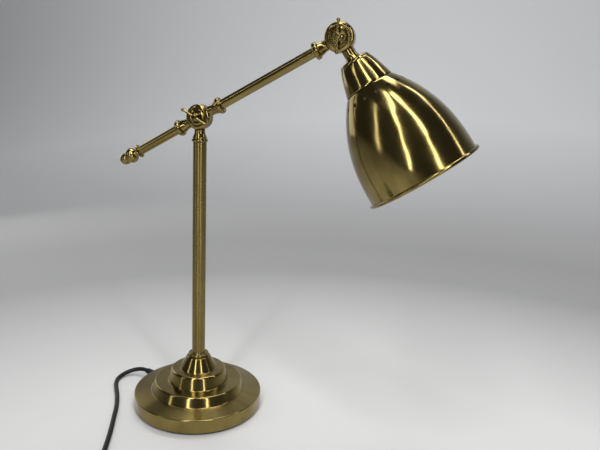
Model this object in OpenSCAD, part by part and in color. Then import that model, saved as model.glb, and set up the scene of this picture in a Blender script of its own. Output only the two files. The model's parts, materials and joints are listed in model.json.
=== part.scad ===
// Dome shade desk lamp: stepped round base, upright stem, pivoting arm with a turned finial,
// and a dome shade on a tilting knuckle. Millimetres, +Z up. The origin is the centre of the
// underside of the base pad. The arm swings in the XZ plane, with its shade end towards +X,
// and both clamp screws face -Y.

/* [Base] */
// Outer diameter of the base
base_d = 170; // [160:1:190]
// Thickness of the felt pad under the base
pad_t = 3; // [2:0.5:5]
// Height of the base's side wall
side_h = 17.4; // [16:0.2:24]
// Thickness of the spun sheet of the base
base_sheet = 1; // [0.8:0.1:1.4]
// Rise of the shoulder from the side wall to the foot of the lower tier
shoulder_rise = 3.8; // [2:0.2:7]
// Diameter of the lower tier at its foot
tier1_d = 125; // [118:1:135]
// Height of the lower tier
tier1_h = 12; // [9:0.5:16]
// Diameter of the upper tier at its foot
tier2_d = 81; // [76:1:88]
// Height of the upper tier
tier2_h = 16.2; // [11:0.2:18]
// How far each tier leans in from foot to top
tier_lean = 5; // [3:0.5:6]
// Diameter of the cone at its foot
cone_d = 49.6; // [44:0.4:56]
// Diameter of the cone at its top
cone_top_d = 30.4; // [29:0.4:36]
// Height of the cone
cone_h = 16.6; // [12:0.2:24]
// Thickness of the steel plate that closes the base
plate_t = 1.5; // [1.2:0.1:2.5]

/* [Stem] */
// Diameter of the stem tube
stem_d = 17.4; // [16.4:0.2:20]
// Wall of the stem tube
stem_wall = 1; // [0.8:0.1:1.4]
// Height of the arm joint's axis above the table
joint_h = 385.6; // [300:0.2:450]
// Diameter of the collar round the foot of the stem
stem_collar_d = 26.8; // [24:0.2:28]
// Diameter of the flange at the top of the stem
stem_flange_d = 20.6; // [19.6:0.2:21.4]
// Width of that flange
stem_flange_w = 3.8; // [3:0.2:5]
// Distance from the arm joint to the middle of that flange
stem_flange_at = 28.6; // [27:0.2:34]
// Height of the collar round the foot of the stem
stem_collar_h = 4.2; // [3:0.2:8]
// Diameter of the threaded rod that clamps the base
rod_d = 10; // [9:0.5:11]

/* [Arm] */
// Distance between the arm joint and the head joint
arm_reach = 195.3; // [160:0.1:240]
// Distance from the arm joint to the tip of the finial
tail_reach = 126.6; // [105:0.1:160]
// Angle of the arm above level
arm_rise = 29.3; // [15:0.1:35]
// Diameter of the arm tubes
arm_d = 11.7; // [11.3:0.1:13]
// Wall of the arm tubes
arm_wall = 0.9; // [0.7:0.1:1]

/* [Joints] */
// Diameter of the knuckle on the stem
arm_knuckle_d = 31.2; // [29:0.2:33]
// Diameter of the knuckle on the shade
head_knuckle_d = 34.4; // [32:0.2:35]
// Height of the turned face of a knuckle half above the joint's mid-plane
knuckle_h = 11.6; // [11:0.2:14]
// Diameter of the turned collars at the tube ends
collar_d = 20.6; // [18:0.2:22]
// Distance from a joint's axis to the middle of a collar
collar_at = 30.4; // [29:0.2:36]
// Width of a turned collar
collar_w = 6; // [4:0.2:8]
// Diameter of the necks between knuckle and collar
neck_d = 12.8; // [12.4:0.2:14]
// Gap between the two halves of a knuckle
half_gap = 0.8; // [0.6:0.1:1.2]
// Diameter of a clamp screw's shank
screw_d = 5; // [4:0.5:6]
// Length of a clamp screw's cross bar
bar_l = 39; // [32:1:46]
// Diameter of a clamp screw's cross bar
bar_d = 2.7; // [2.2:0.1:3.2]
// Turn of the stem joint's cross bar about the screw
arm_bar_turn = 29; // [0:1:90]
// Turn of the head joint's cross bar about the screw
head_bar_turn = -90; // [-90:1:90]

/* [Shade] */
// Angle between the shade's axis and straight down
shade_tilt = 34.7; // [20:0.1:45]
// Distance from the head joint to the top of the cup
cup_at = 29.5; // [29:0.5:34]
// Height of the cup over the shade
cup_h = 34.5; // [33:0.5:40]
// Diameter of the cup at its shoulder
cup_top_d = 37; // [35:0.5:42]
// Diameter of the cup at its foot
cup_foot_d = 57.2; // [52:0.2:62]
// Diameter of the shade just below the cup
shade_top_d = 57.8; // [53:0.2:63]
// Outer diameter of the shade's wall at the mouth
shade_d = 131.6; // [120:0.2:150]
// Height of the shade from the cup to the mouth
shade_h = 119; // [100:1:140]
// How fast the dome swells below the cup
dome_power = 2.55; // [2:0.05:3]
// Thickness of the shade and cup sheet
shade_sheet = 1; // [0.8:0.1:1.3]
// Diameter of the rolled bead round the mouth
bead_d = 4.2; // [3:0.2:5]
// Number of vent holes round the shade
vents = 16; // [8:1:20]
// Diameter of a vent hole
vent_d = 4.2; // [3:0.2:6]
// Distance of the vent holes below the cup's edge
vent_at = 11.4; // [9:0.2:16]

/* [Lampholder and bulb] */
// Diameter of the lampholder's threaded barrel
holder_d = 28; // [27:0.5:30]
// Length of the lampholder's barrel below the shade
barrel_l = 20; // [18:0.5:24]
// Diameter of the ring that holds the shade
ring_d = 37; // [34:0.5:42]
// Diameter of the hollow screwed nipple
nipple_d = 10; // [9.4:0.2:10.6]
// Diameter of the bulb's screw cap
bulb_cap_d = 13.9; // [13.5:0.1:14.3]
// Diameter of the bulb's globe
bulb_d = 45; // [40:1:50]
// Length of the bulb
bulb_l = 78; // [74:1:84]

/* [Cord, switch and plug] */
// Diameter of the cord
cord_d = 6; // [5.6:0.1:6.4]
// Direction in which the cord leaves the base, from +X
outlet_turn = 158; // [150:1:164]
// Length of the tapered strain relief at the base
relief_l = 20; // [18:0.5:24]
// Length of the in-line switch
switch_l = 58; // [54:1:62]
// Width of the in-line switch
switch_w = 25; // [23:0.5:30]
// Height of the in-line switch
switch_h = 15; // [14:0.5:17]
// Length of the plug's body
plug_l = 36; // [30:1:40]
// Width of the plug's body at the pins
plug_w = 35; // [30:0.5:36]
// Height of the plug's body
plug_h = 13.7; // [12:0.1:15]
// Diameter of the plug's pins
pin_d = 4; // [3.6:0.1:4.8]
// Length of the plug's pins
pin_l = 19; // [17:0.5:21]
// Distance between the plug's pins
pin_space = 19; // [18:0.2:20]

/* [Hidden] */
$fn = 96;

brass = [0.71, 0.58, 0.27];
dark_brass = [0.45, 0.36, 0.17];
steel = [0.62, 0.62, 0.63];
iron = [0.2, 0.2, 0.21];
black = [0.05, 0.05, 0.05];
ceramic = [0.88, 0.87, 0.83];

// Clearances
slip = 0.05;   // a turned piece pushed or screwed into another
pass = 0.1;    // a cord or shank through a hole
open = 0.3;    // a bolt hole, and sheet beside sheet

// Levels of the base, from the table up
wall_top_z = pad_t + side_h;
tier1_z = wall_top_z + shoulder_rise;
shelf1_z = tier1_z + tier1_h;
tier2_z = shelf1_z - 0.4;
shelf2_z = tier2_z + tier2_h;
cone_z = shelf2_z + 0.6;
cone_top_z = cone_z + cone_h;
// Outer rounding of a bent edge, a little over the sheet so that its inner side is round too
base_edge_r = base_sheet + 0.2;
weight_z = pad_t + plate_t;
weight_top_z = tier2_z - base_sheet;
clamp_z = weight_top_z - 5;
bush_neck_r = cord_d / 2 + 1.6;
outlet_h = weight_z + bush_neck_r + 0.8;

base_r = base_d / 2;
stem_r = stem_d / 2;
stem_bore_r = stem_r - stem_wall;
arm_r = arm_d / 2;
arm_bore_r = arm_r - arm_wall;
rod_r = rod_d / 2;
cord_r = cord_d / 2;
lead_bore_r = cord_r + open;
screw_r = screw_d / 2;
arm_knuckle_r = arm_knuckle_d / 2;
head_knuckle_r = head_knuckle_d / 2;
nipple_r = nipple_d / 2;

// Distances along the arm from the arm joint
collar_end = collar_at + collar_w / 2;
finial_l = 33.2;
spigot_l = 11;
insert_l = 14;

// Distances along the shade's axis from the head joint
seam_s = cup_at + cup_h;
mouth_s = seam_s + shade_h;
cup_in_s = cup_at + shade_sheet;
nut_h = 3.5;
holder_s = cup_in_s + nut_h;
barrel_end_s = seam_s + barrel_l;
bulb_tip_s = seam_s - 4.4;
cap_l = 17.4;

// ---- outlines ----

function unit(v) = v / norm(v);

// An arc of radius r in place of the corner b, between a and c
function corner(a, b, c, r, n = 8) =
    let (
        u = unit(a - b),
        v = unit(c - b),
        half = acos(max(-1, min(1, u * v))) / 2,
        middle = b + unit(u + v) * r / sin(half),
        p = b + u * r / tan(half) - middle,
        q = b + v * r / tan(half) - middle,
        from = atan2(p.y, p.x),
        turn = (atan2(q.y, q.x) - from + 540) % 360 - 180
    )
    [for (k = [0 : n]) middle + r * [cos(from + turn * k / n), sin(from + turn * k / n)]];

// An outline whose points are [x, y] or, for a rounded corner, [x, y, radius]
function rounded(p) = [
    for (i = [0 : len(p) - 1])
        let (a = p[(i + len(p) - 1) % len(p)], b = p[i], c = p[(i + 1) % len(p)])
        each len(b) < 3
            ? [b]
            : corner([a.x, a.y], [b.x, b.y], [c.x, c.y], b.z)
];

// A line moved sideways, to its left, by t
function beside(p, t) = [
    for (i = [0 : len(p) - 1])
        let (
            before = unit(p[max(i, 1)] - p[max(i, 1) - 1]),
            last = len(p) - 2,
            after = unit(p[min(i, last) + 1] - p[min(i, last)]),
            across = unit(before + after),
            side = [-across.y, across.x]
        )
        p[i] + t * side / max(0.6, side * [-before.y, before.x])
];

// The cut through a sheet of thickness t whose outer face is the line p
function sheet(p, t) =
    let (inner = beside(p, t))
    concat(p, [for (i = [len(p) - 1 : -1 : 0]) inner[i]]);

module turned(p) {
    rotate_extrude()
        polygon(p);
}

module ring(outer_r, inner_r, z0, z1) {
    turned([[inner_r, z0], [outer_r, z0], [outer_r, z1], [inner_r, z1]]);
}

// ---- frames ----

// Radial direction of the cord's outlet, along +Z, from the base's axis
module at_outlet() {
    translate([0, 0, outlet_h])
        rotate([0, 90, outlet_turn])
            children();
}

module at_arm_joint() {
    translate([0, 0, joint_h])
        children();
}

// +Z runs along the arm, from the arm joint to the head joint
module along_arm() {
    at_arm_joint()
        rotate([0, 90 - arm_rise, 0])
            children();
}

module at_head_joint() {
    translate([arm_reach * cos(arm_rise), 0, joint_h + arm_reach * sin(arm_rise)])
        children();
}

// +Z runs along the shade's axis, from the head joint to the mouth
module along_shade() {
    at_head_joint()
        rotate([0, 180 - shade_tilt, 0])
            children();
}

// ---- base ----

// Outer face of the spun base, from the foot of the wall to the hole at the top
base_line = rounded([
    [base_r, pad_t],
    [base_r, wall_top_z, base_edge_r],
    [tier1_d / 2, tier1_z, 1],
    [tier1_d / 2 - tier_lean, shelf1_z, 2.5],
    [tier2_d / 2, tier2_z, 1],
    [tier2_d / 2 - tier_lean, shelf2_z, 3.5],
    [cone_d / 2, cone_z, 1],
    [cone_top_d / 2, cone_top_z, base_edge_r],
    [rod_r + open, cone_top_z],
]);

module base_shell() {
    color(brass)
        difference() {
            turned(sheet(base_line, base_sheet));
            at_outlet()
                translate([0, 0, base_r - 8])
                    cylinder(r = bush_neck_r + pass, h = 16);
        }
}

weight_r = base_r - 9;
boss_r = tier1_d / 2 - tier_lean - 7;
well_r = 15;
screw_circle_r = weight_r - 14;

// Cast weight: a disc, a rib that carries the lower tier's shelf, and a hub for the rod
module base_weight() {
    color(iron)
        difference() {
            turned([
                [well_r, weight_z],
                [weight_r, weight_z],
                [weight_r, weight_z + 7.5],
                [boss_r, weight_z + 8.5],
                [boss_r, weight_top_z],
                [boss_r - 7, weight_top_z],
                [boss_r - 9, weight_z + 12],
                [well_r + 7, weight_z + 12],
                [well_r + 4, weight_top_z],
                [rod_r + open, weight_top_z],
                [rod_r + open, clamp_z],
                [well_r, clamp_z],
            ]);
            rotate([0, 0, outlet_turn])
                translate([0, -cord_r - 1, weight_z - 1])
                    cube([base_r, cord_d + 2, outlet_h + cord_r + 1 - weight_z + 1]);
            plate_screw_places()
                translate([0, 0, weight_z - 1])
                    cylinder(r = 2 + slip, h = 7.5);
        }
}

module plate_screw_places() {
    for (k = [0 : 2])
        rotate([0, 0, outlet_turn + 60 + 120 * k])
            translate([screw_circle_r, 0, 0])
                children();
}

module base_plate() {
    color(steel)
        difference() {
            ring(base_r - base_sheet - open, 0, pad_t, weight_z);
            plate_screw_places()
                translate([0, 0, pad_t - 0.01])
                    cylinder(r1 = 3.9, r2 = 2 + pass, h = plate_t + 0.02);
        }
}

module plate_screws() {
    color(steel)
        plate_screw_places() {
            translate([0, 0, pad_t])
                cylinder(r1 = 3.7, r2 = 2, h = plate_t);
            translate([0, 0, weight_z - 0.2])
                cylinder(r = 2, h = 6);
        }
}

module base_pad() {
    color(iron)
        ring(base_r - 3, 0, 0, pad_t);
}

bush_flange_r = bush_neck_r + 1.3;
bush_tip = base_r + 1.5 + relief_l;

// One moulded bush: inner lip, neck through the wall, flange and a ribbed tapering sleeve
module cord_bush() {
    ribs = 5;
    step = relief_l / ribs;
    color(black)
        at_outlet()
            turned(concat(
                [
                    [cord_r + pass, base_r - base_sheet - 2.4],
                    [bush_neck_r - 0.4, base_r - base_sheet - 2.4],
                    [bush_neck_r + 0.5, base_r - base_sheet - open],
                    [bush_neck_r, base_r - base_sheet - open],
                    [bush_neck_r, base_r + slip],
                    [bush_flange_r, base_r + slip],
                    [bush_flange_r, base_r + 1],
                    [bush_flange_r - 0.5, base_r + 1.5],
                ],
                [
                    for (k = [0 : ribs - 1])
                        let (r = cord_r + 2.2 - k * 0.28, s = base_r + 1.5 + k * step)
                        each [
                            [r - 0.5, s],
                            [r - 0.5, s + step * 0.35],
                            [r, s + step * 0.45],
                            [r - 0.15, s + step * 0.98],
                        ]
                ],
                [[cord_r + 0.7, bush_tip], [cord_r + pass, bush_tip]]
            ));
}

module stem_rod() {
    color(steel)
        ring(rod_r, lead_bore_r, clamp_z - 9, cone_top_z + insert_l);
}

module rod_washer() {
    color(steel)
        ring(rod_r + 6, rod_r + open, clamp_z - 1.5, clamp_z);
}

module rod_nut() {
    color(steel)
        translate([0, 0, clamp_z - 7.5])
            difference() {
                cylinder(r = rod_r + 4.6, h = 6, $fn = 6);
                translate([0, 0, -1])
                    cylinder(r = rod_r + slip, h = 8);
            }
}

// ---- stem ----

module stem_insert() {
    color(steel)
        ring(stem_bore_r - slip, rod_r + slip, cone_top_z, cone_top_z + insert_l);
}

module stem_collar() {
    collar_r = stem_collar_d / 2;
    top_z = cone_top_z + stem_collar_h;
    color(brass)
        turned(rounded([
            [stem_r + pass, cone_top_z],
            [collar_r - 0.8, cone_top_z],
            [collar_r + 0.2, cone_top_z + stem_collar_h / 2, 1],
            [collar_r - 0.4, top_z, 1.4],
            [stem_r + 0.8, top_z],
            [stem_r + pass, top_z + 0.8],
        ]));
}

stem_flange_end = stem_flange_at + stem_flange_w / 2;
stem_top_z = joint_h - stem_flange_end;

module stem_tube() {
    color(brass)
        ring(stem_r, stem_bore_r, cone_top_z, stem_top_z);
}

// The flex from the bush's tip through the base and up the stem
module stem_lead() {
    bend = 12;
    color(black) {
        at_outlet()
            translate([0, 0, bend])
                cylinder(r = cord_r, h = bush_tip - bend);
        rotate([0, 0, outlet_turn])
            translate([bend, 0, outlet_h + bend])
                rotate([90, 0, 0])
                    rotate([0, 0, 180])
                        rotate_extrude(angle = 90)
                            translate([bend, 0])
                                circle(r = cord_r);
        translate([0, 0, outlet_h + bend])
            cylinder(r = cord_r, h = joint_h - arm_knuckle_r - 1 - outlet_h - bend);
    }
}

// ---- knuckles ----

// Front half, on the screw's side: turned rings round a boss. +Z points away from the mid-plane.
module face_half(r) {
    top = knuckle_h;
    turned(rounded([
        [screw_r + pass, half_gap / 2],
        [r, half_gap / 2],
        [r, top - 3.4, 3.6],
        [r - 4.3, top - 1.6, 0.9],
        [r - 4.7, top - 3],
        [r - 5.5, top - 3],
        [r - 5.8, top - 0.9, 0.7],
        [r - 8.6, top - 0.2, 0.9],
        [r - 9.2, top - 1.8],
        [screw_r + 3.1, top - 1.8],
        [screw_r + 3.1, top],
        [screw_r + pass, top],
    ]));
}

// Rear half, domed, with the blind tapped hole for the screw
module domed_half(r) {
    turned(rounded([
        [screw_r + slip, half_gap / 2],
        [r, half_gap / 2],
        [r, knuckle_h - 4.6, 5.2],
        [r * 0.45, knuckle_h + 0.4, 4],
        [0, knuckle_h + 0.4],
        [0, knuckle_h - 2.2],
        [screw_r + slip, knuckle_h - 2.2],
    ]));
}

// Turned neck, flare and collar along +Z, ending in a spigot or, without one, flat at the collar
function neck_line(neck_r, foot_r, rim_r, at, w, spigot_r, spigot) = rounded(concat(
    [
        [0, 6],
        [neck_r, 6],
        [neck_r, at - w / 2 - 7, 9],
        [foot_r, at - w / 2 - 1.2, 1],
        [foot_r - 0.6, at - w / 2, 0.2],
        [rim_r, at - w / 2, 1.9],
        [rim_r, at + w / 2, 1.9],
    ],
    [
        [spigot_r, at + w / 2],
        [spigot_r, at + w / 2 + spigot],
        [0, at + w / 2 + spigot],
    ]
));

// A knuckle half on its own side of the mid-plane, with its necks cut clear of the other half.
// side is 1 for the half towards -Y and -1 for the one towards +Y.
module knuckle(r, side) {
    difference() {
        union() {
            rotate([90 * side, 0, 0])
                if (side > 0)
                    face_half(r);
                else
                    domed_half(r);
            difference() {
                children(0);
                rotate([90 * side, 0, 0]) {
                    translate([0, 0, half_gap / 2 - 2 * r])
                        cylinder(r = r + 0.5, h = 2 * r);
                    cylinder(r = r - 5, h = 2 * r);
                }
            }
        }
        children(1);
    }
}

module stem_knuckle() {
    color(brass)
        at_arm_joint()
            knuckle(arm_knuckle_r, -1) {
                rotate([180, 0, 0])
                    turned(neck_line(neck_d / 2 + 0.2, stem_flange_d / 2 - 1.1, stem_flange_d / 2,
                        stem_flange_at, stem_flange_w, stem_bore_r - slip, spigot_l));
                lead_hole([180, 0, 0], arm_knuckle_r, stem_flange_end);
            }
}

// Wireway from a spigot's end to just outside the knuckle
module lead_hole(turn, knuckle_r, end) {
    rotate(turn)
        translate([0, 0, knuckle_r + 0.7])
            cylinder(r = lead_bore_r, h = end + spigot_l - knuckle_r + 1);
}

module arm_neck() {
    turned(neck_line(neck_d / 2, collar_d / 2 - 2.1, collar_d / 2, collar_at, collar_w,
        arm_bore_r - slip, spigot_l));
}

module arm_knuckle() {
    color(brass)
        along_arm()
            knuckle(arm_knuckle_r, 1) {
                union() {
                    arm_neck();
                    rotate([180, 0, 0])
                        arm_neck();
                }
                lead_hole([0, 0, 0], arm_knuckle_r, collar_end);
            }
}

module arm_end_knuckle() {
    color(brass)
        along_arm()
            translate([0, 0, arm_reach])
                knuckle(head_knuckle_r, -1) {
                    rotate([180, 0, 0])
                        arm_neck();
                    lead_hole([180, 0, 0], head_knuckle_r, collar_end);
                }
}

module shade_knuckle() {
    color(brass)
        along_shade()
            knuckle(head_knuckle_r, 1) {
                turned(rounded([
                    [0, 6],
                    [neck_d / 2 + 0.9, 6],
                    [neck_d / 2 + 0.9, cup_at - 5, 9],
                    [neck_d / 2 + 3, cup_at - 0.6],
                    [neck_d / 2 + 3, cup_at],
                    [0, cup_at],
                ]));
                translate([0, 0, head_knuckle_r + 0.7])
                    cylinder(r = nipple_r + slip, h = cup_at);
            }
}

module friction_washer(r) {
    rotate([-90, 0, 0])
        ring(r - 2, screw_r + 0.2, -half_gap / 2 + 0.2, half_gap / 2);
}

module arm_friction_washer() {
    color(iron)
        at_arm_joint()
            friction_washer(arm_knuckle_r);
}

module head_friction_washer() {
    color(iron)
        at_head_joint()
            friction_washer(head_knuckle_r);
}

// ---- clamp screws ----

screw_washer_h = 1;
hub_z = knuckle_h + screw_washer_h;
bar_z = hub_z + 4.8;
hub_r = bar_d / 2 + 2.2;

// Shank, flange and hub with a cross hole, along +Z from the mid-plane to the front
module clamp_screw() {
    difference() {
        turned(rounded([
            [0, -knuckle_h + 3],
            [screw_r, -knuckle_h + 3],
            [screw_r, hub_z],
            [hub_r + 1.3, hub_z],
            [hub_r + 1.3, hub_z + 1.2, 0.4],
            [hub_r, hub_z + 1.8],
            [hub_r, bar_z + bar_d / 2 + 1.8, 1.4],
            [0, bar_z + bar_d / 2 + 1.8],
        ]));
        translate([-10, 0, bar_z])
            rotate([0, 90, 0])
                cylinder(r = bar_d / 2 + slip, h = 20);
    }
}

module screw_bar() {
    ball_r = bar_d / 2 + 0.85;
    reach = bar_l / 2 - ball_r;
    translate([0, 0, bar_z]) {
        translate([-reach, 0, 0])
            rotate([0, 90, 0])
                cylinder(r = bar_d / 2, h = 2 * reach);
        for (x = [-reach, reach])
            translate([x, 0, 0])
                sphere(r = ball_r);
    }
}

module screw_washer() {
    ring(screw_r + 2.8, screw_r + pass, knuckle_h, hub_z);
}

// +Z points out of the knuckle's front face
module facing(turn) {
    rotate([90, turn, 0])
        children();
}

module arm_screw() {
    color(brass)
        at_arm_joint()
            facing(arm_bar_turn)
                clamp_screw();
}

module arm_screw_bar() {
    color(brass)
        at_arm_joint()
            facing(arm_bar_turn)
                screw_bar();
}

module arm_screw_washer() {
    color(brass)
        at_arm_joint()
            facing(0)
                screw_washer();
}

module head_screw() {
    color(brass)
        at_head_joint()
            facing(head_bar_turn)
                clamp_screw();
}

module head_screw_bar() {
    color(brass)
        at_head_joint()
            facing(head_bar_turn)
                screw_bar();
}

module head_screw_washer() {
    color(brass)
        at_head_joint()
            facing(0)
                screw_washer();
}

// ---- arm ----

module long_arm_tube() {
    color(brass)
        along_arm()
            ring(arm_r, arm_bore_r, collar_end, arm_reach - collar_end);
}

finial_start = tail_reach - finial_l;

module short_arm_tube() {
    color(brass)
        along_arm()
            rotate([180, 0, 0])
                ring(arm_r, arm_bore_r, collar_end, finial_start);
}

// An oval ball of half-width a and half-length b about the height z
function ball_line(a, b, z, from, to, n = 14) =
    [for (k = [0 : n]) let (t = from + (to - from) * k / n) [a * sin(t), z - b * cos(t)]];

// Turned finial: spigot, ring, cove, large ball and end ball
module finial() {
    ball_z = 15.6;
    end_r = 7.6;
    color(brass)
        along_arm()
            rotate([180, 0, 0])
                translate([0, 0, finial_start])
                    turned(concat(
                        [
                            [0, -spigot_l],
                            [arm_bore_r - slip, -spigot_l],
                            [arm_bore_r - slip, 0],
                            [arm_r + 0.4, 0],
                        ],
                        ball_line(8.8, 2.7, 2.7, 46, 146, 8),
                        [[4.9, 6.2], [4.9, 7.2]],
                        ball_line(9.9, 8.2, ball_z, 33, 138),
                        ball_line(end_r, end_r, finial_l - end_r, 60, 180)
                    ));
}

module arm_lead() {
    start = arm_knuckle_r + 1;
    color(black)
        along_arm()
            translate([0, 0, start])
                cylinder(r = cord_r, h = arm_reach - head_knuckle_r - 1 - start);
}

// ---- shade ----

cup_round = 3.8;
cup_rim = 1;

// Outer face of the cup, from the nipple's hole to the foot
function cup_line() = concat(
    [[nipple_r + open, cup_at]],
    [
        for (k = [0 : 6])
            [cup_top_d / 2 - cup_round + cup_round * sin(15 * k),
                cup_at + cup_round - cup_round * cos(15 * k)]
    ],
    [
        for (k = [1 : 12])
            let (u = k / 12)
            [(cup_top_d + (cup_foot_d - cup_top_d) * pow(u, 0.8)) / 2,
                cup_at + cup_round + (cup_h - cup_round - cup_rim) * u]
    ],
    [[cup_foot_d / 2, seam_s]]
);

function dome_r(u) = (shade_top_d + (shade_d - shade_top_d) * (1 - pow(1 - u, dome_power))) / 2;

// Outer face of the shade, from the lampholder's hole to the mouth
function shade_line() = concat(
    [[holder_d / 2 + open, seam_s], [dome_r(0) - 1, seam_s]],
    [for (k = [1 : 30]) let (u = pow(k / 30, 1.25)) [dome_r(u), seam_s + shade_h * u]]
);

module shade_cup() {
    color(brass)
        along_shade()
            turned(sheet(cup_line(), shade_sheet));
}

module shade() {
    vent_u = vent_at / shade_h;
    slope = atan((dome_r(vent_u + 0.01) - dome_r(vent_u - 0.01)) / (0.02 * shade_h));
    bead_r = bead_d / 2;
    color(brass)
        along_shade()
            difference() {
                union() {
                    turned(sheet(shade_line(), shade_sheet));
                    rotate_extrude()
                        translate([shade_d / 2 - shade_sheet + 0.1 + bead_r, mouth_s])
                            circle(r = bead_r);
                }
                for (k = [0 : vents - 1])
                    rotate([0, 0, (k + 0.5) * 360 / vents])
                        translate([dome_r(vent_u), 0, seam_s + vent_at])
                            rotate([0, 90 + slope, 0])
                                translate([0, 0, -5])
                                    cylinder(r = vent_d / 2, h = 10, $fn = 32);
            }
}

module shade_ring() {
    inner_r = holder_d / 2 + pass;
    top_s = seam_s + shade_sheet;
    color(ceramic)
        along_shade()
            turned([
                [inner_r, top_s],
                [ring_d / 2, top_s],
                [ring_d / 2, top_s + 4],
                [ring_d / 2 - 1, top_s + 5],
                [inner_r, top_s + 5],
            ]);
}

module nipple() {
    color(steel)
        along_shade()
            ring(nipple_r, lead_bore_r, head_knuckle_r + 1, holder_s + 7);
}

module nipple_nut() {
    color(steel)
        along_shade()
            translate([0, 0, cup_in_s])
                difference() {
                    cylinder(r = nipple_r + 3.1, h = nut_h, $fn = 6);
                    translate([0, 0, -1])
                        cylinder(r = nipple_r + slip, h = nut_h + 2);
                }
}

holder_r = holder_d / 2;
flange_s = seam_s - 5.8;
flange_r = holder_r + 2.2;
shell_r = bulb_cap_d / 2 + pass;
shell_wall = 0.6;

module holder_cap() {
    color(ceramic)
        along_shade()
            turned(rounded([
                [nipple_r + slip, holder_s],
                [8.5, holder_s],
                [8.5, holder_s + 3, 1.5],
                [holder_r - 0.1, holder_s + 9, 3],
                [holder_r - 0.1, flange_s],
                [holder_r - 1.6, flange_s],
                [holder_r - 1.6, holder_s + 10.5, 2],
                [8, holder_s + 7, 1],
                [nipple_r + slip, holder_s + 7],
            ]));
}

module holder_body() {
    floor_s = flange_s - 0.2;
    color(ceramic)
        along_shade()
            difference() {
                turned([
                    [0, flange_s - 8],
                    [holder_r - 1.7, flange_s - 8],
                    [holder_r - 1.7, flange_s],
                    [flange_r, flange_s],
                    [flange_r, seam_s],
                    [holder_r, seam_s],
                    [holder_r, barrel_end_s],
                    [shell_r + 3.2, barrel_end_s],
                    [shell_r + shell_wall + slip, barrel_end_s - 4],
                    [shell_r + shell_wall + slip, floor_s],
                    [0, floor_s],
                ]);
                terminal_places()
                    translate([0, 0, flange_s - 9])
                        cylinder(r = 1.5 + slip, h = 5);
            }
}

module terminal_places() {
    for (x = [-7, 7])
        translate([x, 0, 0])
            children();
}

module holder_shell() {
    color(dark_brass)
        along_shade()
            ring(shell_r + shell_wall, shell_r, flange_s + 0.8, barrel_end_s - 4.5);
}

// Sprung centre contact: a foot on the lampholder's floor and a tongue under the bulb
module holder_contact() {
    floor_s = flange_s - 0.2;
    rise = bulb_tip_s - floor_s - slip;
    color(dark_brass)
        along_shade()
            translate([0, 1.8, floor_s])
                rotate([90, 0, 0])
                    linear_extrude(3.6)
                        polygon([
                            [6, 0], [6, 0.4], [1.6, 0.4], [-1.2, rise], [-3, rise],
                            [-3, rise - 0.4], [-1.4, rise - 0.4], [1.4, 0],
                        ]);
}

module terminal_screws() {
    color(dark_brass)
        along_shade()
            terminal_places() {
                translate([0, 0, flange_s - 10.2])
                    cylinder(r = 2.7, h = 2.2);
                translate([0, 0, flange_s - 8.1])
                    cylinder(r = 1.5, h = 3.6);
            }
}

module head_lead() {
    color(black)
        along_shade()
            translate([0, 0, head_knuckle_r + 1])
                cylinder(r = cord_r, h = holder_s + 8 - head_knuckle_r);
}

cap_end_s = bulb_tip_s + cap_l;
globe_s = bulb_tip_s + bulb_l - bulb_d / 2;
bulb_neck_r = bulb_cap_d / 2 - open;
glass_t = 0.7;

module bulb_cap() {
    r = bulb_cap_d / 2;
    color(steel)
        along_shade()
            turned([
                [0, bulb_tip_s],
                [3, bulb_tip_s],
                [3.4, bulb_tip_s + 1.2],
                [r, bulb_tip_s + 3.6],
                [r, cap_end_s],
                [r - 0.6, cap_end_s],
                [r - 0.6, bulb_tip_s + 4.4],
                [0, bulb_tip_s + 2.4],
            ]);
}

module bulb_glass() {
    r = bulb_d / 2;
    start = 30;
    color([0.95, 0.95, 0.92, 0.5])
        along_shade()
            turned(sheet(concat(
                [
                    [bulb_neck_r, cap_end_s],
                    [bulb_neck_r, cap_end_s + 1],
                    [bulb_neck_r + 0.6, cap_end_s + 5],
                    [bulb_neck_r + 2.2, cap_end_s + 10],
                ],
                [for (k = [0 : 24])
                    let (t = start + (179.8 - start) * k / 24)
                    [r * sin(t), globe_s - r * cos(t)]]
            ), glass_t));
}

// Glass stem, flared at its foot inside the neck, with four filament sticks
module bulb_filament() {
    stem_top = globe_s - 16;
    foot_r = bulb_neck_r - glass_t - open;
    color([0.95, 0.8, 0.35])
        along_shade() {
            turned([
                [0, cap_end_s],
                [foot_r, cap_end_s],
                [foot_r, cap_end_s + 0.8],
                [2.8, cap_end_s + 6],
                [2.2, cap_end_s + 8],
                [2.2, stem_top - 0.5],
                [3.6, stem_top - 0.5],
                [3.6, stem_top + 1],
                [0, stem_top + 1],
            ]);
            for (k = [0 : 3])
                rotate([0, 0, 45 + 90 * k])
                    translate([2.6, 0, stem_top])
                        rotate([0, 12, 0])
                            cylinder(r = 0.8, h = 26);
        }
}

// ---- cord ----

// Points between the chosen ones, on one smooth curve
function smooth(p, n) =
    let (q = concat([2 * p[0] - p[1]], p, [2 * p[len(p) - 1] - p[len(p) - 2]]))
    concat(
        [
            for (i = [1 : len(q) - 3], k = [0 : n - 1])
                let (t = k / n, a = q[i - 1], b = q[i], c = q[i + 1], d = q[i + 2])
                0.5 * (2 * b + (c - a) * t + (2 * a - 5 * b + 4 * c - d) * t * t
                    + (3 * b - a - 3 * c + d) * t * t * t)
        ],
        [p[len(p) - 1]]
    );

function length_of(p, i = 1) = i < len(p) ? norm(p[i] - p[i - 1]) + length_of(p, i + 1) : 0;

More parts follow.
